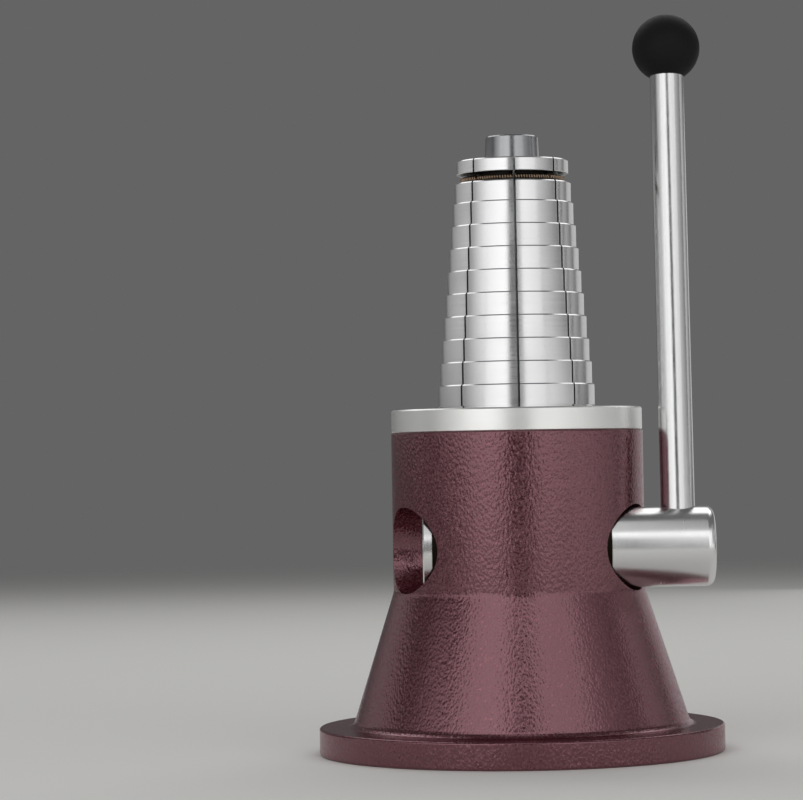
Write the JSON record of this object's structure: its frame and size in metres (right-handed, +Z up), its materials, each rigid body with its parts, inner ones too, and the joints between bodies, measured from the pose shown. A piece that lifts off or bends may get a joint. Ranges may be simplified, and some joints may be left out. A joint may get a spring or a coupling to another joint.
{
  "type": "bracelet expander",
  "caption": "Bench bracelet expander: round cast stand, lever shaft with a ball, and a stepped mandrel of sliding petals that a rack-lifted taper core spreads.",
  "frame": {"origin": "centre of the flange's underside, where the stand rests on the bench", "axes": "+Z up along the mandrel, +X to the lever side along the pinion shaft, -Y to the operator"},
  "size_m": [0.18, 0.18, 0.3267],
  "materials": {
    "hammered_paint": "burgundy hammered enamel on cast iron",
    "bright_steel": "turned and ground bright steel",
    "polished_steel": "fine turned and polished steel",
    "ground_steel": "hardened and ground grey steel",
    "spring_steel": "oil-blackened spring wire",
    "bronze": "machined bronze",
    "black_screws": "black-oxide steel",
    "black_ball": "moulded phenolic, satin"
  },
  "bodies": {
    "stand": {"base_casting": "hammered_paint", "top_plate": "bright_steel", "plate_screws": "black_screws", "upper_return_spring": "spring_steel", "lower_return_spring": "spring_steel", "upper_guide_bush": "bronze", "lower_guide_bush": "bronze", "shaft_bush_left": "bronze", "shaft_bush_right": "bronze", "shaft_retaining_screw": "black_screws"},
    "lever": {"pinion_shaft": "bright_steel", "lever_rod": "bright_steel", "ball_knob": "black_ball", "knob_insert": "bronze"},
    "core": {"expander_core": "ground_steel"},
    "petal_1": {"petal_1": "polished_steel", "keeper_screw_1": "ground_steel"},
    "petal_2": {"petal_2": "polished_steel", "keeper_screw_2": "ground_steel"},
    "petal_3": {"petal_3": "polished_steel", "keeper_screw_3": "ground_steel"},
    "petal_4": {"petal_4": "polished_steel", "keeper_screw_4": "ground_steel"},
    "petal_5": {"petal_5": "polished_steel", "keeper_screw_5": "ground_steel"},
    "petal_6": {"petal_6": "polished_steel", "keeper_screw_6": "ground_steel"},
    "petal_7": {"petal_7": "polished_steel", "keeper_screw_7": "ground_steel"},
    "petal_8": {"petal_8": "polished_steel", "keeper_screw_8": "ground_steel"}
  },
  "joints": [
    {"name": "lever_turn", "type": "hinge", "parent": "stand", "child": "lever", "pos_m": [0, -0.02331, 0.0905], "axis": [1, 0, 0], "range_deg": [-40, 60], "deforming": ["upper_return_spring", "lower_return_spring"]},
    {"name": "core_lift", "type": "slide", "parent": "stand", "child": "core", "axis": [0, 0, 1], "range_m": [-0.01096, 0.01639]},
    {"name": "petal_1_slide", "type": "slide", "parent": "stand", "child": "petal_1", "axis": [0.9239, 0.3827, 0], "range_m": [-0.00049, 0.00073]},
    {"name": "petal_2_slide", "type": "slide", "parent": "stand", "child": "petal_2", "axis": [0.3827, 0.9239, 0], "range_m": [-0.00049, 0.00073]},
    {"name": "petal_3_slide", "type": "slide", "parent": "stand", "child": "petal_3", "axis": [-0.3827, 0.9239, 0], "range_m": [-0.00049, 0.00073]},
    {"name": "petal_4_slide", "type": "slide", "parent": "stand", "child": "petal_4", "axis": [-0.9239, 0.3827, 0], "range_m": [-0.00049, 0.00073]},
    {"name": "petal_5_slide", "type": "slide", "parent": "stand", "child": "petal_5", "axis": [-0.9239, -0.3827, 0], "range_m": [-0.00049, 0.00073]},
    {"name": "petal_6_slide", "type": "slide", "parent": "stand", "child": "petal_6", "axis": [-0.3827, -0.9239, 0], "range_m": [-0.00049, 0.00073]},
    {"name": "petal_7_slide", "type": "slide", "parent": "stand", "child": "petal_7", "axis": [0.3827, -0.9239, 0], "range_m": [-0.00049, 0.00073]},
    {"name": "petal_8_slide", "type": "slide", "parent": "stand", "child": "petal_8", "axis": [0.9239, -0.3827, 0], "range_m": [-0.00049, 0.00073]}
  ],
  "couplings": [
    {"joint": "core_lift", "follows": "lever_turn", "m_per_rad": 0.015556},
    {"joint": "petal_1_slide", "follows": "lever_turn", "m_per_rad": 0.00067917},
    {"joint": "petal_2_slide", "follows": "lever_turn", "m_per_rad": 0.00067917},
    {"joint": "petal_3_slide", "follows": "lever_turn", "m_per_rad": 0.00067917},
    {"joint": "petal_4_slide", "follows": "lever_turn", "m_per_rad": 0.00067917},
    {"joint": "petal_5_slide", "follows": "lever_turn", "m_per_rad": 0.00067917},
    {"joint": "petal_6_slide", "follows": "lever_turn", "m_per_rad": 0.00067917},
    {"joint": "petal_7_slide", "follows": "lever_turn", "m_per_rad": 0.00067917},
    {"joint": "petal_8_slide", "follows": "lever_turn", "m_per_rad": 0.00067917}
  ]
}
